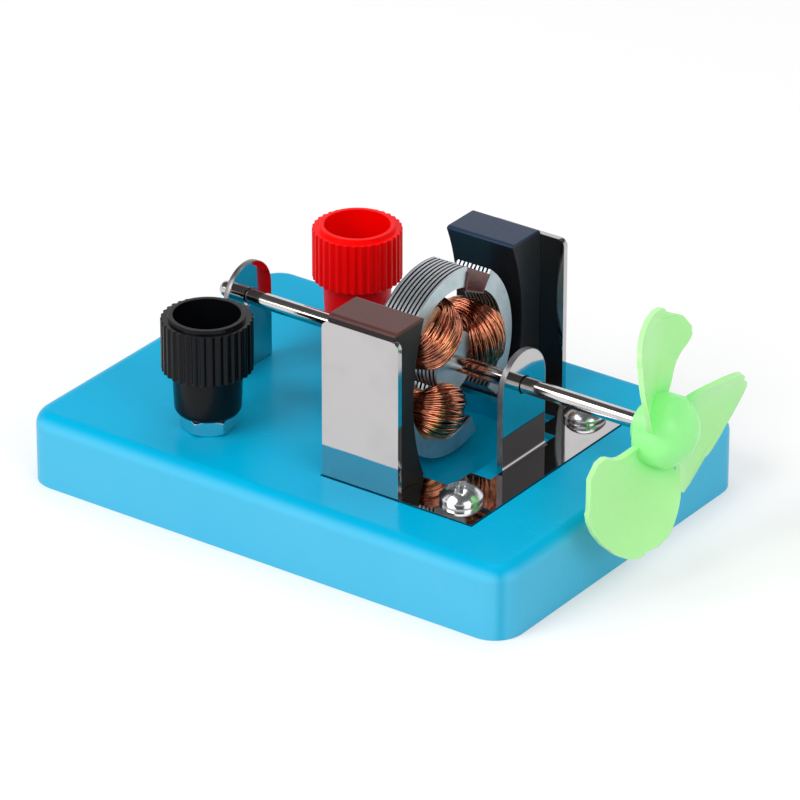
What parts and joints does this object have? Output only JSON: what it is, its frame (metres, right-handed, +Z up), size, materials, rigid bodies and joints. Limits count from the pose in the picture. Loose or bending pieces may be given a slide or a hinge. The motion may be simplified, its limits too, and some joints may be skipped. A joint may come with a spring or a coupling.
{
  "type": "demonstration electric motor",
  "caption": "Open classroom electric motor: wound rotor between magnets on a moulded base, with screw posts, brushes and a small fan on its shaft.",
  "frame": {"origin": "middle of the base's underside, on the surface it stands on", "axes": "+X along the shaft towards the fan, +Y towards the red post, +Z up"},
  "size_m": [0.1075, 0.068, 0.0466],
  "materials": {
    "base_plastic": "glossy moulded plastic",
    "polished_steel": "mirror-polished sheet steel",
    "ferrite": "charcoal sintered ferrite, slightly glossy",
    "screw_steel": "bright plated steel",
    "shaft_steel": "drawn and polished steel rod",
    "rotor_steel": "punched electrical sheet",
    "pole_paper": "varnished insulating paper",
    "copper_wire": "enamelled copper wire",
    "sleeve_resin": "brown moulded resin",
    "copper_sheet": "bare copper sheet",
    "brush_bronze": "spring bronze strip",
    "brass_strip": "stamped brass strip",
    "insert_brass": "turned brass",
    "black_plastic": "glossy moulded plastic",
    "red_plastic": "glossy moulded plastic",
    "fan_plastic": "translucent moulded plastic"
  },
  "bodies": {
    "base_assembly": {"base": "base_plastic", "yoke_plate": "polished_steel", "near_magnet": "ferrite", "far_magnet": "ferrite", "yoke_screws": "screw_steel", "yoke_nuts": "screw_steel", "rear_bearing_bracket": "polished_steel", "bracket_screw": "screw_steel", "bracket_nut": "screw_steel", "black_brush": "brush_bronze", "red_brush": "brush_bronze", "brush_screws": "screw_steel", "brush_nuts": "screw_steel", "black_contact_strip": "brass_strip", "red_contact_strip": "brass_strip", "black_post_stud": "screw_steel", "red_post_stud": "screw_steel", "post_seat_nuts": "screw_steel", "post_under_nuts": "screw_steel"},
    "rotor_assembly": {"shaft": "shaft_steel", "rotor_laminations": "rotor_steel", "pole_insulators": "pole_paper", "slot_liner": "pole_paper", "coil_near": "copper_wire", "coil_far": "copper_wire", "coil_low": "copper_wire", "coil_end_wires": "copper_wire", "commutator_sleeve": "sleeve_resin", "commutator_segments": "copper_sheet", "commutator_ring": "sleeve_resin", "fan": "fan_plastic"},
    "black_insert": {"black_cap_insert": "insert_brass"},
    "black_knob": {"black_cap": "black_plastic"},
    "red_insert": {"red_cap_insert": "insert_brass"},
    "red_knob": {"red_cap": "red_plastic"}
  },
  "joints": [
    {"name": "rotor_spin", "type": "hinge", "parent": "base_assembly", "child": "rotor_assembly", "pos_m": [0, 0, 0.0258], "axis": [1, 0, 0], "continuous": true},
    {"name": "black_cap_lift", "type": "slide", "parent": "base_assembly", "child": "black_insert", "axis": [0, 0, 1], "range_m": [0, 0.003]},
    {"name": "black_cap_turn", "type": "hinge", "parent": "black_insert", "child": "black_knob", "pos_m": [-0.0199, -0.0205, 0.028], "axis": [0, 0, 1], "range_deg": [0, 2160]},
    {"name": "red_cap_lift", "type": "slide", "parent": "base_assembly", "child": "red_insert", "axis": [0, 0, 1], "range_m": [0, 0.003]},
    {"name": "red_cap_turn", "type": "hinge", "parent": "red_insert", "child": "red_knob", "pos_m": [-0.0199, 0.0205, 0.028], "axis": [0, 0, 1], "range_deg": [0, 2160]}
  ],
  "couplings": [
    {"joint": "black_cap_turn", "follows": "black_cap_lift", "rad_per_m": 12566},
    {"joint": "red_cap_turn", "follows": "red_cap_lift", "rad_per_m": 12566}
  ]
}
